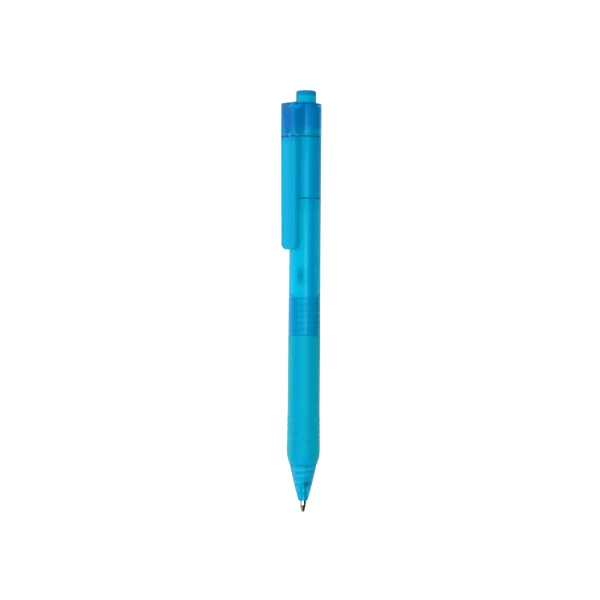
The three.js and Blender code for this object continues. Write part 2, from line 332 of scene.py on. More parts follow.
def makeSpringTree():  # open turns between closed ones at both ends
    tree, entry, leave = shapeTree("springCoil", {
        "Coil Radius": 2.0, "Wire Radius": 0.2, "Turns": 8.0, "Closed Share": 0.1, "Start": 0.0, "End": 10.0})
    line = wire(tree, "GeometryNodeCurvePrimitiveLine").outputs[0]
    points = wire(tree, "GeometryNodeResampleCurve", {"Curve": line, "Count": 420}).outputs[0]
    t = wire(tree, "GeometryNodeSplineParameter").outputs["Factor"]
    angle = product(tree, t, entry["Turns"], fullTurn)
    closedShare = entry["Closed Share"]
    openShare = calc(tree, "SUBTRACT", 1.0, closedShare)
    wireSize = product(tree, entry["Wire Radius"], 2.1)
    endLift = product(tree, closedShare, entry["Turns"], wireSize)
    length = calc(tree, "SUBTRACT", entry["End"], entry["Start"])
    openLift = calc(tree, "SUBTRACT", length, product(tree, endLift, 2.0))
    along = entry["Start"]
    for first, last, lift in ((0.0, closedShare, endLift), (closedShare, openShare, openLift),
                              (openShare, 1.0, endLift)):
        along = calc(tree, "MULTIPLY_ADD", rise(tree, t, first, last, False), lift, along)
    x, z = [product(tree, entry["Coil Radius"], calc(tree, way, angle)) for way in ("SINE", "COSINE")]
    place = wire(tree, "ShaderNodeCombineXYZ", {0: x, 1: along, 2: z}).outputs[0]
    coil = wire(tree, "GeometryNodeSetPosition", {"Geometry": points, "Position": place}).outputs[0]
    section = wire(tree, "GeometryNodeCurvePrimitiveCircle", {
        "Resolution": 12, "Radius": entry["Wire Radius"]}).outputs[0]
    inputs = {"Curve": coil, "Profile Curve": section, "Fill Caps": True}
    return endTree(tree, entry, leave, wire(tree, "GeometryNodeCurveToMesh", inputs).outputs[0])


def makeRingTree(name, cut):  # copies of a tool piece round the pen, joined on or cut out
    tree, entry, leave = shapeTree(name, {"Tool": "Object", "Count": 4, "First Turn": 0.0})
    tool = wire(tree, "GeometryNodeObjectInfo", {"Object": entry["Tool"]}, transform_space="ORIGINAL")
    points = wire(tree, "GeometryNodeMeshLine", {"Count": entry["Count"], "Offset": (0, 0, 0)}).outputs[0]
    index = wire(tree, "GeometryNodeInputIndex").outputs[0]
    turn = calc(tree, "ADD", calc(tree, "DIVIDE", index, entry["Count"]), entry["First Turn"])
    spin = wire(tree, "ShaderNodeCombineXYZ", {1: product(tree, turn, fullTurn)}).outputs[0]
    copies = wire(tree, "GeometryNodeInstanceOnPoints", {
        "Points": points, "Instance": tool.outputs["Geometry"], "Rotation": spin}).outputs[0]
    real = wire(tree, "GeometryNodeRealizeInstances", {"Geometry": copies}).outputs[0]
    # neighbouring copies may overlap, and without Self Intersection the result is then empty
    joint = wire(tree, "GeometryNodeMeshBoolean", {"Self Intersection": True},
                 operation="DIFFERENCE" if cut else "UNION", solver="EXACT")
    tree.links.new(entry["Geometry"], joint.inputs["Mesh 1" if cut else "Mesh 2"])
    tree.links.new(real, joint.inputs["Mesh 2"])
    return endTree(tree, entry, leave, joint.outputs[0])


def ringOf(piece, tool, count, firstTurn, finish, cut=False):
    values = {"Tool": tool, "Count": count, "First Turn": firstTurn, "Finish": finish}
    shapeBy(piece, ringCut if cut else ringJoin, values)
    bpy.data.objects.remove(tool)
    return piece


threadRelief = makeThreadTree()
gripGrain = makeGrainTree()
springCoil = makeSpringTree()
ringJoin = makeRingTree("ringJoin", False)
ringCut = makeRingTree("ringCut", True)
print("node trees ready")


# ball, tip and the white holder that carries it

tipSettings = {"ball": 0.4, "socket": 0.45, "lip": 0.56, "cone": 1.0, "stem": 1.1, "coneEnd": 2.5,
               "shoulder": 10.4, "shank": 0.85, "shankEnd": 14.0, "inkWay": 0.3}


def tipBall():
    radius = tipSettings["ball"]
    rows = 20
    arc = [math.pi * k / rows for k in range(1, rows)]
    side = [(radius * math.sin(a), radius - radius * math.cos(a)) for a in arc]
    return turned("tipBall", [(0, 0)] + side + [(0, 2 * radius)], 40)


def writingTip():
    t = tipSettings
    lipAt = alongOf("writing_tip")[0]
    outline = roundCorners([
        (t["socket"], lipAt), (t["lip"], lipAt + 0.08, 0.03), (t["cone"], t["coneEnd"] - 0.05, 0.04),
        (t["cone"], t["coneEnd"] + 0.05, 0.02), (t["stem"], t["coneEnd"] + 0.12, 0.03),
        (t["stem"], t["shoulder"], 0.08), (t["shank"], t["shoulder"]), (t["shank"], t["shankEnd"], 0.1),
        (t["inkWay"], t["shankEnd"]), (t["inkWay"], lipAt + 0.54), (t["socket"], lipAt + 0.54)])
    return turned("writingTip", outline, 64)


holderSettings = {"nose": 1.7, "flange": 2.95, "flangeStart": 21.7, "plug": 2.52, "inkWay": 0.6}


def tipHolder():
    h, t = holderSettings, tipSettings
    low, high = alongOf("tip_holder")
    tubeStart = alongOf("refill_tube")[0]
    outline = roundCorners([
        (t["shank"] + 0.05, low), (1.4, low, 0.15), (h["nose"], low + 0.5, 0.3),
        (h["nose"], h["flangeStart"], 0.25), (h["flange"], h["flangeStart"], 0.15),
        (h["flange"], tubeStart - 0.1, 0.05), (h["plug"], tubeStart - 0.1), (h["plug"], high, 0.2),
        (h["inkWay"], high), (h["inkWay"], t["shankEnd"] + 0.15), (t["shank"] + 0.05, t["shankEnd"] + 0.15)])
    return turned("tipHolder", outline, 64)


# refill: tube, ink, the grease behind it and the vented plug

refillSettings = {"radius": 3.0, "bore": 2.6, "fill": 2.52, "meniscus": 0.75, "vent": 0.5}


def refillTube():
    low, high = alongOf("refill_tube")
    r = refillSettings
    outline = roundCorners([(r["bore"], low, 0.05), (r["radius"], low, 0.08), (r["radius"], high, 0.12),
                            (r["bore"], high, 0.1)])
    return turned("refillTube", outline, 64)


def hollowArc(radius, edge, depth, steps=8):  # a liquid's curved end, from the wall to the middle
    arc = [math.pi / 2 * k / steps for k in range(1, steps)]
    return [(radius * math.cos(a), edge - depth * math.sin(a)) for a in arc] + [(0, edge - depth)]


def inkColumn():
    low, high = alongOf("ink_column")
    r = refillSettings
    outline = [(0, low), (r["fill"], low), (r["fill"], high)] + hollowArc(r["fill"], high, r["meniscus"])
    return turned("inkColumn", outline, 48)


def inkFollower():
    low, high = alongOf("ink_follower")
    r = refillSettings
    underside = hollowArc(r["fill"], low, r["meniscus"] - 0.1)[::-1]
    topside = hollowArc(r["fill"], high, r["meniscus"] + 0.3)
    return turned("inkFollower", underside + [(r["fill"], low), (r["fill"], high)] + topside, 48)


def refillPlug():
    low, high = alongOf("refill_plug")
    seat = alongOf("refill_tube")[1] + 0.1
    r = refillSettings
    outline = roundCorners([
        (r["vent"], low), (r["fill"], low, 0.2), (r["fill"], seat), (r["radius"] - 0.05, seat, 0.05),
        (r["radius"] - 0.05, high, 0.2), (r["vent"], high, 0.1)])
    return turned("refillPlug", outline, 64)


springSettings = {"Coil Radius": 2.0, "Wire Radius": 0.2, "Turns": 8.0, "Closed Share": 0.13}


def returnSpring(finish):
    low, high = alongOf("return_spring")
    wireRadius = springSettings["Wire Radius"]
    spring = linked("returnSpring", bpy.data.meshes.new("returnSpring"))
    values = dict(springSettings, Start=low + wireRadius, End=high - wireRadius, Finish=finish)
    return shapeBy(spring, springCoil, values)


# front half: the barrel under the grip, with its nose and screwed neck

seamClose = 0.05  # how far each shell reaches over the gap at a joint
threadSettings = {"Pitch": 2.07, "Start": 60.4, "End": 71.6}
frontSettings = {"mouth": 1.25, "core": 4.1, "neck": 4.3, "threadDepth": 0.26, "bore": 3.35, "boreEnd": 20.6,
                 "springBore": 2.75, "seat": 9.0}


def screwed(piece, radius, finish, **values):  # the thread goes onto the wall that lies at this radius
    wall = {"Low Radius": radius - 0.02, "High Radius": radius + 0.02}
    return shapeBy(piece, threadRelief, dict(threadSettings, Finish=finish, **wall, **values))


def frontBarrel(finish):
    f = frontSettings
    low, high = alongOf("front_barrel")
    gripLow, gripHigh = alongOf("grip_sleeve")
    outline = roundCorners([
        (f["mouth"], low, 0.03), (1.38, low, 0.06), (1.7, low + 0.6, 0.3), (2.95, 9.2, 6), (4.13, 14.2, 5),
        (4.52, gripLow - 0.12, 0.12), (f["core"], gripLow - 0.12, 0.1), (f["core"], gripHigh + 0.1, 0.1),
        (f["neck"], gripHigh + 0.4, 0.1), (f["neck"], high - 0.5, 0.3), (f["neck"] - 0.25, high, 0.1),
        (f["bore"], high, 0.2), (f["bore"], f["boreEnd"], 0.2), (f["springBore"], f["boreEnd"] - 0.3, 0.1),
        (f["springBore"], 12.6, 1.5), (2.3, f["seat"] + 0.4, 0.3), (2.2, f["seat"], 0.1),
        (f["mouth"], f["seat"], 0.15)], steps=5)
    blank = turned("frontBarrel", finely(outline, gripHigh + 0.3, high, 0.14), 112)
    return screwed(blank, f["neck"], finish, Depth=f["threadDepth"])


gripSettings = {"bore": 4.15, "mouth": 4.6, "flare": 5.57, "waist": 5.38, "top": 5.4, "edge": 0.06}
grainSettings = {"Columns": 12.0, "Row Pitch": 2.0, "Stud": 0.62, "Height": 0.13, "Start": 22.2, "End": 33.5}


def smoothThrough(points, steps=6):  # a curve through the points, for the grip's swelling
    ends = [Vector(p) for p in [points[0]] + points + [points[-1]]]
    curve = []
    for a, b, c, d in zip(ends, ends[1:], ends[2:], ends[3:]):
        for k in range(steps):
            t = k / steps
            curve.append(0.5 * (2 * b + (c - a) * t + (2 * a - 5 * b + 4 * c - d) * t ** 2
                                + (3 * b - a - 3 * c + d) * t ** 3))
    return curve + [ends[-1]]


def gripSleeve(finish):
    g = gripSettings
    low, high = alongOf("grip_sleeve")
    swelling = smoothThrough([
        (g["mouth"] + 0.06, low + 0.18), (5.0, low + 1.3), (5.3, low + 2.3), (5.5, low + 3.5),
        (g["flare"], low + 5.2), (g["flare"] - 0.04, low + 6.6), (5.42, low + 9), (g["waist"], low + 12.5)])
    outline = [(g["bore"], low), (g["mouth"], low)] + swelling
    high += seamClose
    outline += [(g["top"], high - g["edge"]), (g["top"] - g["edge"], high), (g["bore"], high)]
    corners = [tuple(p) for p in outline]
    rounded = roundCorners([corners[0], corners[1] + (0.08,)] + corners[2:])
    blank = turned("gripSleeve", finely(rounded, grainSettings["Start"], grainSettings["End"], 0.11), 288)
    return shapeBy(blank, gripGrain, dict(grainSettings, Finish=finish, **{
        "Low Radius": 5.0, "High Radius": g["flare"]}))


# rear half: the barrel with its inner thread, then the cap

barrelSettings = {"radius": 5.4, "threadTop": 5.33, "upper": 5.28, "tunnel": 4.68, "bore": 4.0,
                  "spigot": 4.45, "parting": 105.6, "edge": 0.07, "threadDepth": -0.2}


def rearBarrel(finish):
    b = barrelSettings
    low, high = alongOf("barrel")
    low -= seamClose
    parting = b["parting"] + seamClose
    neckEnd = alongOf("front_barrel")[1]
    outline = roundCorners([
        (b["tunnel"], low, 0.05), (b["radius"], low, b["edge"]), (b["threadTop"], neckEnd), (b["upper"], 86),
        (b["upper"], parting, b["edge"]), (b["spigot"], parting), (b["spigot"], high, 0.25),
        (b["bore"], high, 0.1), (b["bore"], neckEnd + 1.2, 0.3), (b["tunnel"], neckEnd + 0.5, 0.3)])
    blank = turned("rearBarrel", finely(outline, low + 0.2, neckEnd + 0.5, 0.14), 112)
    return screwed(blank, b["tunnel"], finish, Depth=b["threadDepth"], Phase=0.5)


capSettings = {"radius": 5.26, "bore": 4.55, "edge": 0.07, "collarStart": 126.3, "spigot": 4.62,
               "guideBore": 4.0, "guideEnd": 129.4, "buttonBore": 3.55}


def capTube():
    c = capSettings
    low, high = alongOf("cap_tube")
    low -= seamClose
    shoulder = c["collarStart"] - 0.15 + seamClose
    outline = roundCorners([
        (c["bore"], low, 0.05), (c["radius"], low, c["edge"]), (c["radius"], shoulder, c["edge"]),
        (c["spigot"], shoulder), (c["spigot"], high, 0.25), (c["buttonBore"], high, 0.15),
        (c["buttonBore"], c["guideEnd"], 0.1), (c["guideBore"], c["guideEnd"]),
        (c["guideBore"], c["collarStart"]), (c["bore"], c["collarStart"])])
    return turned("capTube", outline, 112)


# collar and clip, moulded in one, with a hollow behind the clip's block

clipSettings = {"outer": 8.15, "thickness": 2.0, "topWidth": 7.4, "endWidth": 7.0, "corner": 2.2, "edge": 0.5,
                "lean": 0.4, "padTop": 101.6, "padDepth": 0.3, "padInset": 0.5, "collarBore": 4.72,
                "collarEdge": 0.4, "pocketWidth": 4.6, "pocketOuter": 7.1, "pocketLow": 127.3,
                "pocketHigh": 135.5, "pip": 0.42, "pipsAt": (127.95, 131.5), "toneChange": 125.8}


def stripOutline(top, end, topWidth, endWidth, corner):
    halfTop, halfEnd = topWidth / 2, endWidth / 2
    corners = [(halfTop, top), (-halfTop, top), (-halfEnd, end, corner), (halfEnd, end, corner)]
    return roundCorners(corners, steps=9)


def cutAcross(piece, along):  # a straight row of edges for a change of finish
    bm = bmesh.new()
    bm.from_mesh(piece.data)
    geometry = bm.verts[:] + bm.edges[:] + bm.faces[:]
    bmesh.ops.bisect_plane(bm, geom=geometry, plane_co=(0, along, 0), plane_no=(0, 1, 0))
    bm.to_mesh(piece.data)
    bm.free()
    return piece


def clipAndCollar():
    c = clipSettings
    low, high = alongOf("clip_collar")
    end = alongOf("clip")[0]
    leanTurn = math.atan(c["lean"] / (low - end))
    inner = c["outer"] - c["thickness"]
    side = [(1, low), (1, high), (c["outer"], high), (c["outer"], low), (c["outer"] - c["lean"], end),
            (inner - c["lean"], end), (inner, low - 1), (inner - 0.8, low)]
    whole = prism("clipAndCollar", side, (-5, 5), axis="X")
    strip = stripOutline(high + 1, end, c["topWidth"], c["endWidth"], c["corner"])
    combine(whole, prism("strip", strip, (0, 12)), "INTERSECT")
    softenEdges(whole, c["edge"], angle=30, segments=4)
    width = c["endWidth"] - 2 * c["padInset"]
    padStrip = stripOutline(c["padTop"], end + c["padInset"], width, width, c["corner"] - c["padInset"])
    pad = softenEdges(prism("pad", padStrip, (inner - c["padDepth"], inner + 0.5)), 0.2)
    hinge = Matrix.Translation((0, low, c["outer"]))
    pad.data.transform(hinge @ Matrix.Rotation(leanTurn, 4, "X") @ hinge.inverted())
    combine(whole, pad, "UNION")
    ringRadius = capSettings["radius"]
    ring = roundCorners([(0, low), (ringRadius, low, 0.08), (ringRadius, high, c["collarEdge"]), (0, high)])
    combine(whole, turned("ring", ring, 112), "UNION")
    topWall = alongOf("cap_tube")[1] + 0.2
    buttonHole = capSettings["buttonBore"]
    bore = roundCorners([
        (0, low - 1), (c["collarBore"], low - 1), (c["collarBore"], topWall), (buttonHole, topWall),
        (buttonHole, high - 0.3), (buttonHole + 0.3, high), (buttonHole + 0.3, high + 1), (0, high + 1)])
    combine(whole, turned("bore", bore, 112), "DIFFERENCE")
    half = c["pocketWidth"] / 2
    pocket = [(3, c["pocketLow"]), (3, c["pocketHigh"]), (c["pocketOuter"], c["pocketHigh"], 0.3),
              (c["pocketOuter"], c["pocketLow"], 0.3)]
    hollow = prism("pocket", roundCorners(pocket), (-half, half), axis="X")
    for at in c["pipsAt"]:
        for way in (-1, 1):
            spot = [(c["pocketOuter"] - 0.75 + c["pip"] * math.sin(fullTurn * k / 16),
                     at + c["pip"] * math.cos(fullTurn * k / 16)) for k in range(16)]
            pip = prism("pip", spot, sorted((way * (half - 0.7), way * (half + 0.3))), axis="X")
            combine(hollow, pip, "DIFFERENCE")
    return cutAcross(combine(whole, hollow, "DIFFERENCE"), c["toneChange"])


# click mechanism

camSettings = {"firstTurn": 105 / 360, "grooves": 4, "teeth": 8, "keyWidth": 1.4, "keyReach": (2.6, 3.82),
               "toothSide": 1.2}


def bar(name, width, radial, along):  # a block on the clip's side, ready to be copied round the pen
    half = width / 2
    corners = [(half, along[0]), (half, along[1]), (-half, along[1]), (-half, along[0])]
    return softenEdges(prism(name, corners, radial), 0.12, segments=2)


def tooth(name, side, radial, at, length=0.0):  # a bar with a pointed upper end
    half = side * math.sqrt(0.5)
    corners = [(half, at - length), (half, at), (0, at + half), (-half, at), (-half, at - length)]
    corners = corners if length else [(half, at), (0, at + half), (-half, at), (0, at - half)]
    return softenEdges(prism(name, corners, radial), 0.06, segments=2)


guideSettings = {"outside": 4.45, "bore": 3.95, "ridge": 3.25, "ridgeWidth": 2.6,
                 "ridgeAlong": (117.3, 125.0), "windowWidth": 2.1, "windowStart": 114.7}


def guideSleeve(finish):
    g = guideSettings
    low, high = alongOf("guide_sleeve")
    outline = roundCorners([(g["bore"], low, 0.1), (g["outside"], low, 0.12), (g["outside"], high, 0.12),
                            (g["bore"], high, 0.1)])
    sleeve = turned("guideSleeve", outline, 96)
    first, grooves = camSettings["firstTurn"], camSettings["grooves"]
    ridge = bar("ridge", g["ridgeWidth"], (g["ridge"], g["bore"] + 0.25), g["ridgeAlong"])
    ringOf(sleeve, ridge, grooves, first + 0.5 / grooves, finish)
    window = bar("window", g["windowWidth"], (2, 6), (g["windowStart"], high + 1))
    return ringOf(sleeve, window, 2, first, finish, cut=True)


buttonSettings = {"plunger": 3.1, "plungerStart": 118.2, "radius": 3.4, "widening": 130.0, "hollow": 1.8,
                  "topWall": 1.9, "rim": 0.6, "keyAlong": (119.2, 124.2), "teeth": (2.1, 2.95)}


def pushButton(finish):
    b, m = buttonSettings, camSettings
    top = alongOf("push_button")[1]
    outline = roundCorners([
        (0, top - b["topWall"]), (b["hollow"], top - b["topWall"], 0.3), (b["hollow"], b["plungerStart"]),
        (b["plunger"], b["plungerStart"]), (b["plunger"], b["widening"] - 0.3, 0.1),
        (b["radius"], b["widening"], 0.1), (b["radius"], top, b["rim"]), (0, top)])
    button = turned("pushButton", outline, 96)
    key = bar("key", m["keyWidth"], m["keyReach"], b["keyAlong"])
    ringOf(button, key, m["grooves"], m["firstTurn"], finish)
    plungerTooth = tooth("tooth", m["toothSide"], b["teeth"], b["plungerStart"])
    return ringOf(button, plungerTooth, m["teeth"], m["firstTurn"], finish)


rotorSettings = {"radius": 2.95, "crown": 116.3, "pin": 1.5, "keyStart": 112.5, "teeth": (1.7, 2.6)}


def camRotor(finish):
    r, m = rotorSettings, camSettings
    low, high = alongOf("cam_rotor")
    outline = roundCorners([
        (0, low), (r["radius"], low, 0.2), (r["radius"], r["crown"], 0.1), (r["pin"], r["crown"], 0.2),
        (r["pin"], high, 0.4), (0, high)])
    rotor = turned("camRotor", outline, 96)
    side = m["keyWidth"] * math.sqrt(0.5)
    key = tooth("key", side, m["keyReach"], r["crown"], length=r["crown"] - r["keyStart"])
    ringOf(rotor, key, m["grooves"], m["firstTurn"], finish)
    crownTooth = tooth("tooth", m["toothSide"], r["teeth"], r["crown"])
    return ringOf(rotor, crownTooth, m["teeth"], m["firstTurn"] + 0.5 / m["teeth"], finish)


# finishes: groups that several of them share

def objectPlace(tree):
    return wire(tree, "ShaderNodeTexCoord").outputs["Object"]


def noise(tree, place, scale, detail, roughness=0.5):
    inputs = {"Vector": place, "Scale": scale, "Detail": detail, "Roughness": roughness}
    return wire(tree, "ShaderNodeTexNoise", inputs).outputs["Fac"]


def mixColour(tree, share, colour, other):
    return wire(tree, "ShaderNodeMix", {0: share, 6: colour, 7: other}, data_type="RGBA").outputs[2]


def giveOut(tree, leave, **results):
    for label, result in results.items():
        tree.links.new(result, leave[label])
    return tree


def onWall(tree):  # angle in turns, along and radius, for a finish
    fromTip = vectorCalc(tree, "SUBTRACT", objectPlace(tree), tipPoint)[0]
    across, along, out = [vectorCalc(tree, "DOT_PRODUCT", fromTip, way * perMetre)["Value"]
                          for way in (widthWay, buttonWay, clipWay)]
    angle = calc(tree, "DIVIDE", calc(tree, "ARCTAN2", across, out), fullTurn)
    radius = calc(tree, "SQRT", calc(tree, "MULTIPLY_ADD", across, across, product(tree, out, out)))
    return angle, along, radius


def makeFrostGroup():  # fine mould grain with a faint cloudiness
    tree, entry, leave = newTree("mouldFrost", "ShaderNodeTree", {
        "Colour": (0.0, 0.5, 0.8, 1), "Cloud Colour": (0.0, 0.4, 0.7, 1), "Cloud": 0.2, "Cloud Stretch": 1.0,
        "Grain Size": 0.09, "Roughness": 0.2, "Roughness Spread": 0.1},
        {"Colour": "Color", "Roughness": "Float", "Height": "Float"})
    place = objectPlace(tree)
    grain = noise(tree, place, calc(tree, "DIVIDE", perMetre, entry["Grain Size"]), 3.0, 0.6)
    stretch = wire(tree, "ShaderNodeCombineXYZ", {0: entry["Cloud Stretch"], 1: 1.0, 2: 1.0}).outputs[0]
    clouds = noise(tree, vectorCalc(tree, "MULTIPLY", place, stretch)[0], 160.0, 2.0)
    mask = product(tree, rise(tree, clouds, 0.35, 0.7), entry["Cloud"])
    spread = product(tree, calc(tree, "SUBTRACT", grain, 0.5), entry["Roughness Spread"])
    colour = mixColour(tree, mask, entry["Colour"], entry["Cloud Colour"])
    roughness = calc(tree, "ADD", entry["Roughness"], spread)
    return giveOut(tree, leave, Colour=colour, Roughness=roughness, Height=grain)


def makeWearGroup():  # hair scratches in patches, mostly along the pen
    tree, entry, leave = newTree("handlingWear", "ShaderNodeTree", {
        "Colour": (0.5, 0.5, 0.5, 1), "Worn Colour": (0.02, 0.62, 0.86, 1), "Amount": 0.07, "Roughness": 0.4,
        "Height": 0.5, "Scratch Depth": 0.3}, {"Colour": "Color", "Roughness": "Float", "Height": "Float"})
    place = objectPlace(tree)
    stretched = wire(tree, "ShaderNodeMapping", {
        "Vector": place, "Rotation": (0.0, 0.05, 0.08), "Scale": (90.0, 2600.0, 2600.0)}).outputs[0]
    scratch = rise(tree, noise(tree, stretched, 1.0, 1.0), 0.62, 0.72)
    where = rise(tree, noise(tree, place, 240.0, 2.0), 0.45, 0.65)
    mask = product(tree, scratch, where, entry["Amount"])
    cut = product(tree, mask, product(tree, entry["Scratch Depth"], -1.0))
    colour = mixColour(tree, mask, entry["Colour"], entry["Worn Colour"])
    roughness = calc(tree, "MULTIPLY_ADD", mask, 0.2, entry["Roughness"])
    height = calc(tree, "ADD", entry["Height"], cut)
    return giveOut(tree, leave, Colour=colour, Roughness=roughness, Height=height)


def makeTurningGroup():  # tool rings left by the lathe, square to the pen
    tree, entry, leave = newTree("turningMarks", "ShaderNodeTree", {
        "Spacing": 0.08, "Roughness": 0.2, "Roughness Spread": 0.15},
        {"Roughness": "Float", "Height": "Float"})
    along = wire(tree, "ShaderNodeSeparateXYZ", {0: objectPlace(tree)}).outputs[0]
    marks = calc(tree, "DIVIDE", product(tree, along, perMetre), entry["Spacing"])
    rings = wire(tree, "ShaderNodeTexNoise", {"W": marks, "Detail": 2.0}, noise_dimensions="1D")
    height = rings.outputs["Fac"]
    roughness = calc(tree, "ADD", entry["Roughness"], product(tree, height, entry["Roughness Spread"]))
    return giveOut(tree, leave, Roughness=roughness, Height=height)


def makeSeamGroup():  # a dark line in a joint (also used as a line of painted shade along an edge), and a deeper colour beyond a mark
    tree, entry, leave = newTree("seamShade", "ShaderNodeTree", {
        "Colour": (0.0, 0.5, 0.8, 1), "Seam Colour": (0.0, 0.1, 0.35, 1), "First Seam": -10.0,
        "Second Seam": -10.0, "Width": 0.2, "Reach": 6.0, "Deep Colour": (0.0, 0.3, 0.65, 1),
        "Deep From": 1000.0, "Deep Fade": 0.5}, {"Colour": "Color"})
    along, radius = onWall(tree)[1:]
    away = [calc(tree, "ABSOLUTE", calc(tree, "SUBTRACT", along, entry[seam]))
            for seam in ("First Seam", "Second Seam")]
    near = calc(tree, "DIVIDE", calc(tree, "MINIMUM", *away), entry["Width"])
    mask = product(tree, rise(tree, near, 1.0, 0.3), calc(tree, "LESS_THAN", radius, entry["Reach"]))
    deep = rise(tree, along, entry["Deep From"], calc(tree, "ADD", entry["Deep From"], entry["Deep Fade"]))
    body = mixColour(tree, deep, entry["Colour"], entry["Deep Colour"])
    return giveOut(tree, leave, Colour=mixColour(tree, mask, body, entry["Seam Colour"]))


def makePaintedShadeAndLightGroup():  # a soft band of painted shade on the wall, over what lies inside; a lighter colour makes it painted light
    tree, entry, leave = newTree("paintedShadeAndLight", "ShaderNodeTree", {
        "Colour": (0.0, 0.5, 0.8, 1), "Painted Colour": (0.0, 0.4, 0.7, 1), "Turn": 0.0, "Half Width": 0.05,
        "Start": 0.0, "End": 10.0, "Fade": 2.0}, {"Colour": "Color"})
    angle, along = onWall(tree)[:2]
    fromTurn = calc(tree, "FRACT", calc(tree, "ADD", calc(tree, "SUBTRACT", angle, entry["Turn"]), 0.5))
    away = calc(tree, "ABSOLUTE", calc(tree, "SUBTRACT", fromTurn, 0.5))
    middle = rise(tree, calc(tree, "DIVIDE", away, entry["Half Width"]), 1.0, 0.15)
    mask = product(tree, middle, *runs(tree, entry, along, entry["Fade"]))
    return giveOut(tree, leave, Colour=mixColour(tree, mask, entry["Colour"], entry["Painted Colour"]))


def makePaintedHelixGroup():  # bands along a helix: painted shade for a thread inside the wall, painted highlights for a spring's coils
    tree, entry, leave = newTree("paintedHelixShadeAndLight", "ShaderNodeTree", {
        "Colour": (0.0, 0.5, 0.8, 1), "Painted Band Colour": (0.0, 0.2, 0.5, 1), "Pitch": 2.0, "Start": 0.0,
        "End": 10.0, "Low Radius": 4.0, "Phase": 0.0, "Line": 0.8, "Between": 0.4}, {"Colour": "Color"})
    angle, along, radius = onWall(tree)
    contrast = calc(tree, "SUBTRACT", entry["Line"], entry["Between"])
    line = product(tree, rise(tree, threadTent(tree, entry, angle, along), 0.4, 0.9), contrast)
    mask = product(tree, calc(tree, "ADD", line, entry["Between"]),
                   calc(tree, "GREATER_THAN", along, entry["Start"]),
                   rise(tree, calc(tree, "SUBTRACT", entry["End"], along), 0.0, 0.4),
                   calc(tree, "GREATER_THAN", radius, entry["Low Radius"]))
    return giveOut(tree, leave, Colour=mixColour(tree, mask, entry["Colour"], entry["Painted Band Colour"]))


mouldFrost = makeFrostGroup()
paintedHelixShadeAndLight = makePaintedHelixGroup()
paintedShadeAndLight = makePaintedShadeAndLightGroup()
seamShade = makeSeamGroup()
handlingWear = makeWearGroup()
turningMarks = makeTurningGroup()


def newFinish(name, settings):  # plain values go straight onto the Principled sockets
    finish = bpy.data.materials.new(name)
    finish.use_nodes = True
    tree = finish.node_tree
    shader = tree.nodes["Principled BSDF"]
    for socket, value in settings.items():
        shader.inputs[socket].default_value = value
    return finish, tree, shader


def placeGroup(tree, group, inputs):
    return wire(tree, "ShaderNodeGroup", inputs, node_tree=group).outputs


def bump(tree, shader, height, strength, distance):
    inputs = {"Height": height, "Strength": strength, "Distance": distance / perMetre}
    tree.links.new(wire(tree, "ShaderNodeBump", inputs).outputs[0], shader.inputs["Normal"])


def absorb(tree, colour, density):  # thicker plastic looks deeper
    volume = wire(tree, "ShaderNodeVolumeAbsorption", {"Color": colour, "Density": density})
    tree.links.new(volume.outputs[0], tree.nodes["Material Output"].inputs["Volume"])


def paintedSlantShade(tree, colour, slantColour, share):  # painted shade: walls seen at a slant are painted a deeper colour, as if light crossed more plastic there
    slant = wire(tree, "ShaderNodeLayerWeight", {"Blend": 0.5}).outputs["Facing"]
    return mixColour(tree, product(tree, rise(tree, slant, 0.12, 0.85), share), colour, slantColour)


def mouldedFinish(name, settings, frost, wear=(), relief=(0.2, 0.02), depth=None, layers=(), slant=None):
    finish, tree, shader = newFinish(name, settings)
    surface = placeGroup(tree, mouldFrost, frost)
    frosted = {part: surface[part] for part in ("Colour", "Roughness", "Height")}
    worn = placeGroup(tree, handlingWear, dict(wear, **frosted))
    colour = worn["Colour"]
    for group, inputs in layers:
        colour = placeGroup(tree, group, dict(inputs, Colour=colour))["Colour"]
    if slant:
        colour = paintedSlantShade(tree, colour, *slant)
    tree.links.new(colour, shader.inputs["Base Color"])
    tree.links.new(worn["Roughness"], shader.inputs["Roughness"])
    bump(tree, shader, worn["Height"], *relief)
    if depth:
        absorb(tree, *depth)
    return finish


def turnedFinish(name, colour, marks, relief, beyond=None):
    finish, tree, shader = newFinish(name, {"Base Color": colour, "Metallic": 1.0})
    if beyond:
        body = placeGroup(tree, seamShade, dict(beyond, Colour=colour))["Colour"]
        tree.links.new(body, shader.inputs["Base Color"])
    surface = placeGroup(tree, turningMarks, marks)
    tree.links.new(surface["Roughness"], shader.inputs["Roughness"])
    bump(tree, shader, surface["Height"], *relief)
    return finish


def clearPlastic(share):  # share is how much of the light goes through
    return {"IOR": 1.28, "Specular IOR Level": 0.06, "Specular Tint": (0.15, 0.8, 1.0, 1),
            "Transmission Weight": share}


def frosting(colour, cloudColour, **changes):  # changes are to the values that most finishes share
    values = {"cloud": "Cloud", "stretch": "Cloud Stretch", "grain": "Grain Size", "roughness": "Roughness",
              "spread": "Roughness Spread"}
    return {"Colour": colour, "Cloud Colour": cloudColour, **{values[key]: changes[key] for key in changes}}


def scratches(colour, amount, depth=0.6):
    return {"Worn Colour": colour, "Amount": amount, "Scratch Depth": depth}


# a band round part of the pen: painted shade with a darker colour, painted light with a lighter one
def shadeOver(turn, halfWidth, start, end, colour, fade=2.0):
    return paintedShadeAndLight, {"Turn": turn, "Half Width": halfWidth, "Start": start, "End": end, "Fade": fade,
                        "Painted Colour": colour}


# helical bands: painted shade in a dark colour, painted highlights in a pale one
def helixOver(start, end, lowRadius, line, between, colour, pitch=threadSettings["Pitch"], phase=0.79):
    return paintedHelixShadeAndLight, {"Pitch": pitch, "Start": start, "End": end, "Low Radius": lowRadius, "Phase": phase,
                         "Line": line, "Between": between, "Painted Band Colour": colour}


def deepFrom(start, fade, colour):
    return {"Deep From": start, "Deep Fade": fade, "Deep Colour": colour}


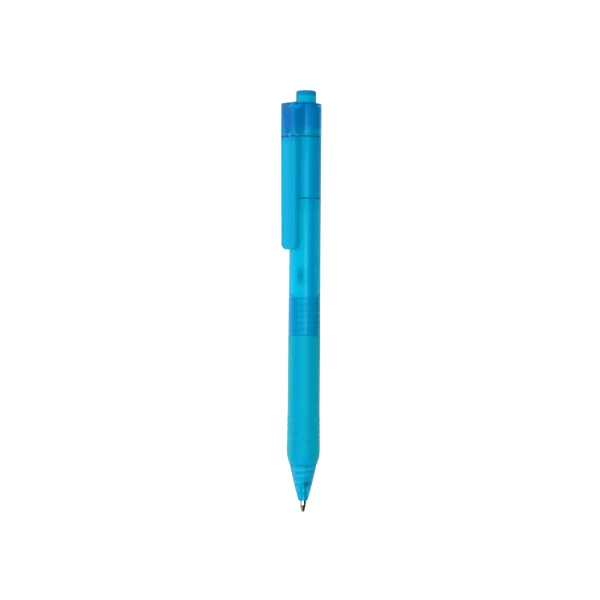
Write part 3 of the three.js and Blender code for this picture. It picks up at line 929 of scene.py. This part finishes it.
deepBlue = (0.0, 0.64, 0.91, 1)
# painted shade on the walls, over the refill, the grease, the thread's edge, the pocket and the spring's seat
paintedRefillShade = shadeOver(0.219, 0.052, 50.0, 130.0, (0.0, 0.5, 0.84, 1))
paintedGreaseShade = shadeOver(0.087, 0.062, 74.8, 84.2, (0.0, 0.42, 0.66, 1), 4.5)
paintedThreadEdgeShade = shadeOver(0.035, 0.06, 50.0, 72.8, (0.0, 0.44, 0.8, 1), 0.6)
paintedPocketShade = shadeOver(0.0, 0.058, 126.9, 136.4, (0.0, 0.34, 0.78, 1), 0.7)
paintedSeatShade = shadeOver(0.2, 0.09, 8.3, 11.1, (0.0, 0.36, 0.6, 1), 1.1)
# pale painted highlights along the spring's coils
paintedSpringHighlights = helixOver(9.9, 15.9, 2.95, 0.45, -0.1, (0.12, 0.95, 1.0, 1), 2.0, 0.34)
finishes = {
    "frosted_plastic": mouldedFinish(
        "frostedPlastic", clearPlastic(0.6),
        frosting((0.0, 0.70, 0.94, 1), deepBlue, cloud=0.25, grain=0.1, spread=0.12),
        relief=(0.25, 0.02), depth=((0.1, 0.74, 0.88, 1), 90.0), slant=((0.0, 0.48, 0.84, 1), 0.6), layers=[
            # the dark joint line, then painted shade: the thread's lines, a band over the refill, a spot over
            # the grease and a band beside the thread
            (seamShade, {"First Seam": 105.68, "Width": 0.34}),
            helixOver(59.0, 72.8, 4.35, 0.62, 0.32, (0.0, 0.36, 0.74, 1)),
            paintedRefillShade, paintedGreaseShade, paintedThreadEdgeShade]),
    "cap_plastic": mouldedFinish(
        "capPlastic", clearPlastic(0.6),
        frosting((0.0, 0.65, 0.97, 1), (0.0, 0.6, 0.95, 1), cloud=0.3, grain=0.1, spread=0.12),
        relief=(0.25, 0.02), depth=((0.1, 0.72, 0.9, 1), 110.0), slant=((0.0, 0.42, 0.84, 1), 0.7),
        # the dark joint line, then a band of painted shade over the refill
        layers=[(seamShade, {"First Seam": 105.58, "Width": 0.3}), paintedRefillShade]),
    "front_plastic": mouldedFinish(
        "frontPlastic", clearPlastic(0.72),
        frosting((0.0, 0.66, 0.92, 1), (0.0, 0.62, 0.9, 1), cloud=0.25, grain=0.1, spread=0.08),
        depth=((0.1, 0.74, 0.88, 1), 150.0), slant=((0.0, 0.26, 0.48, 1), 0.85),
        # painted shade along the neck's thread, painted highlights on the spring's coils, painted shade at
        # the spring's seat
        layers=[helixOver(58.0, 72.8, 4.15, 1.0, 0.0, (0.0, 0.12, 0.42, 1)), paintedSpringHighlights, paintedSeatShade]),
    "clip_plastic": mouldedFinish(
        "clipPlastic", clearPlastic(0.45),
        frosting((0.0, 0.49, 0.75, 1), (0.0, 0.45, 0.72, 1), roughness=0.25),
        depth=((0.1, 0.74, 0.84, 1), 120.0), slant=((0.0, 0.48, 0.82, 1), 0.45),
        layers=[(seamShade, deepFrom(123.6, 2.4, (0.0, 0.38, 0.76, 1)))]),
    "collar_plastic": mouldedFinish(
        "collarPlastic", clearPlastic(0.8),
        frosting((0.0, 0.78, 1.0, 1), (0.0, 0.74, 0.98, 1), roughness=0.26, spread=0.08),
        depth=((0.1, 0.62, 0.92, 1), 50.0), slant=((0.0, 0.52, 0.9, 1), 0.35), layers=[
            # a dark line at the joint with the cap, a line of painted shade along the collar's top edge, and
            # painted shade over the pocket
            (seamShade, {"First Seam": 126.25, "Second Seam": alongOf("clip_collar")[1] - 0.15, "Width": 0.55,
                         "Reach": 9.0, "Seam Colour": (0.0, 0.26, 0.6, 1),
                         **deepFrom(128.0, 2.0, (0.0, 0.56, 0.95, 1))}),
            paintedPocketShade]),
    # the pocket's faces are painted darker: painted shade in the hollow
    "pocket_plastic": mouldedFinish(
        "pocketPaintedShade", clearPlastic(0.5), frosting((0.0, 0.38, 0.8, 1), (0.0, 0.34, 0.76, 1)),
        depth=((0.1, 0.62, 0.92, 1), 100.0)),
    "button_plastic": mouldedFinish(
        "buttonPlastic", clearPlastic(0.55), frosting((0.0, 0.64, 0.91, 1), (0.0, 0.6, 0.88, 1)),
        depth=((0.1, 0.74, 0.84, 1), 120.0), slant=((0.0, 0.24, 0.5, 1), 1.0),
        layers=[(seamShade, deepFrom(139.9, 0.5, (0.0, 0.34, 0.68, 1)))]),
    "mechanism_plastic": mouldedFinish(
        "mechanismPlastic", clearPlastic(0.6),
        frosting((0.0, 0.58, 0.93, 1), deepBlue, grain=0.15, roughness=0.25),
        scratches((0.3, 0.7, 0.9, 1), 0.4), depth=((0.05, 0.55, 0.92, 1), 220.0)),
    "silicone": mouldedFinish(
        "siliconeGrip", clearPlastic(0.6), frosting(
            (0.0, 0.6, 0.92, 1), (0.0, 0.53, 0.8, 1), cloud=0.5, stretch=0.07, grain=0.2, roughness=0.4,
            spread=0.15),
        scratches((0.02, 0.6, 0.72, 1), 0.1, 0.2), (0.3, 0.02), ((0.1, 0.85, 0.8, 1), 170.0), [
            (seamShade, deepFrom(14.8, 4.8, (0.0, 0.63, 0.86, 1))),
            # a band of painted shade near the clip's side, and a band of painted light further round
            shadeOver(0.04, 0.065, 14.0, 60.0, (0.0, 0.54, 0.83, 1)),
            shadeOver(0.3, 0.085, 14.0, 60.0, (0.0, 0.76, 1.0, 1))], ((0.0, 0.64, 0.64, 1), 0.75)),
    "refill_clear": mouldedFinish(
        "refillClear", {"IOR": 1.4, "Transmission Weight": 0.6},
        frosting((0.88, 0.95, 0.97, 1), (0.82, 0.92, 0.95, 1), grain=0.2, spread=0.06),
        scratches((0.9, 0.95, 1, 1), 0.2), (0.1, 0.01)),
    "refill_white": mouldedFinish(
        "holderWhite", {"IOR": 1.46, "Subsurface Weight": 0.3, "Subsurface Scale": 0.0004},
        frosting((0.72, 0.78, 0.8, 1), (0.66, 0.73, 0.76, 1), cloud=0.3, grain=0.2, roughness=0.38),
        scratches((0.8, 0.85, 0.85, 1), 0.3), (0.2, 0.01)),
    "ink": mouldedFinish(
        "gelInk", {"IOR": 1.38, "Specular IOR Level": 0.5},
        frosting((0.0, 0.5, 0.86, 1), (0.0, 0.4, 0.78, 1), cloud=0.35, grain=0.9, spread=0.05),
        scratches((0.0, 0.3, 0.6, 1), 0.1, 0.0), (0.05, 0.02)),
    "follower_grease": mouldedFinish(
        "followerGrease", {"IOR": 1.4, "Transmission Weight": 0.2},
        frosting((0.0, 0.1, 0.2, 1), (0.0, 0.08, 0.18, 1), cloud=0.5, grain=1.2, roughness=0.3),
        scratches((0.1, 0.35, 0.4, 1), 0.1, 0.0), (0.2, 0.05)),
    # the cone is painted darker than the stem: painted shade for the darker reflections on its slope
    "tip_metal": turnedFinish(
        "tipMetal", (0.27, 0.24, 0.23, 1), {"Spacing": 0.07, "Roughness": 0.12, "Roughness Spread": 0.14},
        (0.12, 0.01), deepFrom(2.4, 0.12, (0.52, 0.49, 0.48, 1))),
    "carbide_ball": turnedFinish(
        "carbideBall", (0.32, 0.31, 0.32, 1), {"Spacing": 0.3, "Roughness": 0.12, "Roughness Spread": 0.06},
        (0.03, 0.005)),
    "spring_steel": turnedFinish(
        "springSteel", (0.9, 0.91, 0.92, 1), {"Spacing": 0.15, "Roughness": 0.24, "Roughness Spread": 0.12},
        (0.08, 0.01)),
}
print("finishes ready:", len(finishes))


# what each piece stands for: its maker, node, body and finish

plainPieces = [
    (tipBall, "tip_ball", "refill", "carbide_ball"),
    (writingTip, "writing_tip", "refill", "tip_metal"),
    (tipHolder, "tip_holder", "refill", "refill_white"),
    (refillTube, "refill_tube", "refill", "refill_clear"),
    (inkColumn, "ink_column", "refill", "ink"),
    (inkFollower, "ink_follower", "refill", "follower_grease"),
    (refillPlug, "refill_plug", "refill", "mechanism_plastic"),
    (capTube, "cap_tube", "casing", "cap_plastic"),
]
patternedPieces = [
    (frontBarrel, "front_barrel", "casing", "front_plastic"),
    (gripSleeve, "grip_sleeve", "casing", "silicone"),
    (rearBarrel, "barrel", "casing", "frosted_plastic"),
    (guideSleeve, "guide_sleeve", "casing", "mechanism_plastic"),
    (pushButton, "push_button", "button", "button_plastic"),
    (camRotor, "cam_rotor", "rotor", "mechanism_plastic"),
]
sharedSlots = {"front_plastic": "frosted_plastic", "cap_plastic": "frosted_plastic"}
for make, node, body, finishName in plainPieces:
    finishPiece(make(), finishes[finishName], sharedSlots.get(finishName, finishName), body, node)
for make, node, body, finishName in patternedPieces:
    finish = finishes[finishName]
    finishPiece(make(finish), finish, sharedSlots.get(finishName, finishName), body, node)
print("turned pieces ready")


def pointAlong(distance):
    return tipPoint + buttonWay * distance / perMetre


def inPocket(point):
    c = clipSettings
    slack = 0.02
    return (abs(point.x) < c["pocketWidth"] / 2 + slack
            and capSettings["radius"] < point.z < c["pocketOuter"] + slack
            and c["pocketLow"] - slack < point.y < c["pocketHigh"] + slack)


clipPiece = clipAndCollar()
clipFaces = clipPiece.data.polygons
collarFaces = [face.index for face in clipFaces if face.center.y > clipSettings["toneChange"]]
pocketFaces = [face.index for face in clipFaces if inPocket(face.center)]
finishPiece(clipPiece, finishes["clip_plastic"], "clip_plastic", None, "clip_collar", "clip")
for faces, finishName in ((collarFaces, "collar_plastic"), (pocketFaces, "pocket_plastic")):
    clipPiece.data.materials.append(finishes[finishName])
    for index in faces:
        clipPiece.data.polygons[index].material_index = len(clipPiece.data.materials) - 1
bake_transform(clipPiece)
spring = returnSpring(finishes["spring_steel"])
finishPiece(spring, finishes["spring_steel"], "spring_steel", None, "return_spring")
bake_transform(spring)
print("clip and spring ready")


# floor, light and camera

stageSettings = {"floorSize": 6.0, "floorGlow": 0.85, "roomGlow": 0.95, "overheadGlow": 0.05,
                 "darkFrom": (0.0, 0.62)}
cameraSettings = {"clipTurn": 49.0, "roll": 0.46, "distance": 0.628, "field": 18.3, "lookAt": 71.52,
                  "aside": 1.53}


def layFloor():
    s = stageSettings
    size = s["floorSize"] / 2
    mesh = bpy.data.meshes.new("floor")
    corners = [(-size, -size, 0), (size, -size, 0), (size, size, 0), (-size, size, 0)]
    mesh.from_pydata(corners, [], [(0, 1, 2, 3)])
    floor = linked("floor", mesh)
    paper = newFinish("floorPaper", {
        "Base Color": (0.4, 0.4, 0.4, 1), "Roughness": 0.9, "Specular IOR Level": 0.1,
        "Emission Color": (1, 1, 1, 1), "Emission Strength": s["floorGlow"]})[0]
    mesh.materials.append(paper)


def softLight(name, towards, distance, size, power):
    light = bpy.data.lights.new(name, "AREA")
    light.shape = "RECTANGLE"
    light.size, light.size_y = size
    light.energy = power
    lamp = linked(name, light)
    lamp.location = pointAlong(71) + towards.normalized() * distance
    lamp.rotation_euler = towards.to_track_quat("Z", "Y").to_euler()


def setWorld():  # a pale room that darkens overhead
    s = stageSettings
    world = bpy.data.worlds.new("studio")
    world.use_nodes = True
    tree = world.node_tree
    way = wire(tree, "ShaderNodeTexCoord").outputs["Generated"]
    height = wire(tree, "ShaderNodeSeparateXYZ", {0: way}).outputs[2]
    overhead = rise(tree, height, *s["darkFrom"])
    glow = calc(tree, "MULTIPLY_ADD", overhead, s["overheadGlow"] - s["roomGlow"], s["roomGlow"])
    tree.links.new(glow, tree.nodes["Background"].inputs["Strength"])
    tree.nodes["Background"].inputs["Color"].default_value = (1, 1, 1, 1)
    bpy.context.scene.world = world


def placeCamera():
    c = cameraSettings
    turn, roll = math.radians(c["clipTurn"]), math.radians(c["roll"])
    towards = clipWay * math.cos(turn) + widthWay * math.sin(turn)
    right = buttonWay.cross(towards)
    up = buttonWay * math.cos(roll) - right * math.sin(roll)
    right = right * math.cos(roll) + buttonWay * math.sin(roll)
    target = pointAlong(c["lookAt"]) - right * c["aside"] / perMetre
    camera = bpy.data.cameras.new("camera")
    camera.sensor_width = 36.0
    camera.angle = math.radians(c["field"])
    camera.clip_start = 0.01
    cameraObject = linked("camera", camera)
    facing = Matrix((right, up, towards)).transposed().to_4x4()
    cameraObject.matrix_world = Matrix.Translation(target + towards * c["distance"]) @ facing
    bpy.context.scene.camera = cameraObject


layFloor()
setWorld()
softLight("keyLight", Vector((0.1, -0.75, 0.65)), 0.7, (0.5, 0.3), 4.5)
placeCamera()
bpy.context.scene.view_settings.view_transform = "Standard"
bpy.context.scene.cycles.max_bounces = 28  # light crosses many clear walls
bpy.context.scene.cycles.transmission_bounces = 28
print("stage ready")
